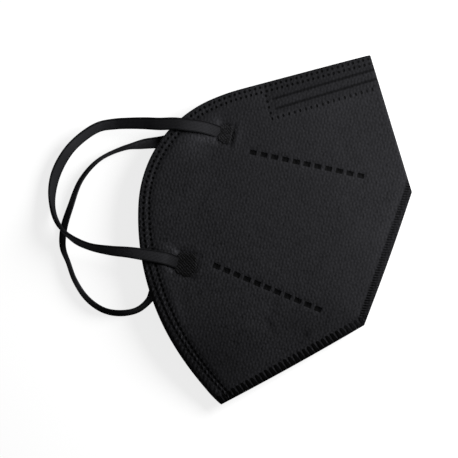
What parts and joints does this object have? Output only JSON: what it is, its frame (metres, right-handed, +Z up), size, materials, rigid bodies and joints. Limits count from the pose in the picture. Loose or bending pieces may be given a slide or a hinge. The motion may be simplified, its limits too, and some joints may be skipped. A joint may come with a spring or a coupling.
{
  "type": "folding respirator mask",
  "caption": "Folding respirator mask with a welded front seam, a nose wire and flat elastic ear loops, folded shut and lying on one side.",
  "frame": {"origin": "on the surface that the mask lies on, under the middle of the folded mask without its ear loops", "axes": "+Y from the chin corner to the nose corner, +X to the wearer's front, away from the face edge, +Z up, out of the right half"},
  "size_m": [0.1436, 0.157, 0.015],
  "materials": {
    "filter_cloth": "matte embossed spunbond nonwoven, black",
    "nose_strip": "plain soft strip",
    "fused_cloth": "nonwoven and band fused by a knurled weld, black, slightly shiny",
    "knit_band": "smooth knitted elastic, black, satin"
  },
  "bodies": {
    "root": {"mask_body": "filter_cloth", "nose_wire": "nose_strip", "loop_weld_right_upper": "fused_cloth", "loop_weld_right_lower": "fused_cloth", "loop_weld_left_upper": "fused_cloth", "loop_weld_left_lower": "fused_cloth", "ear_loop_right": "knit_band", "ear_loop_left": "knit_band"}
  },
  "joints": []
}
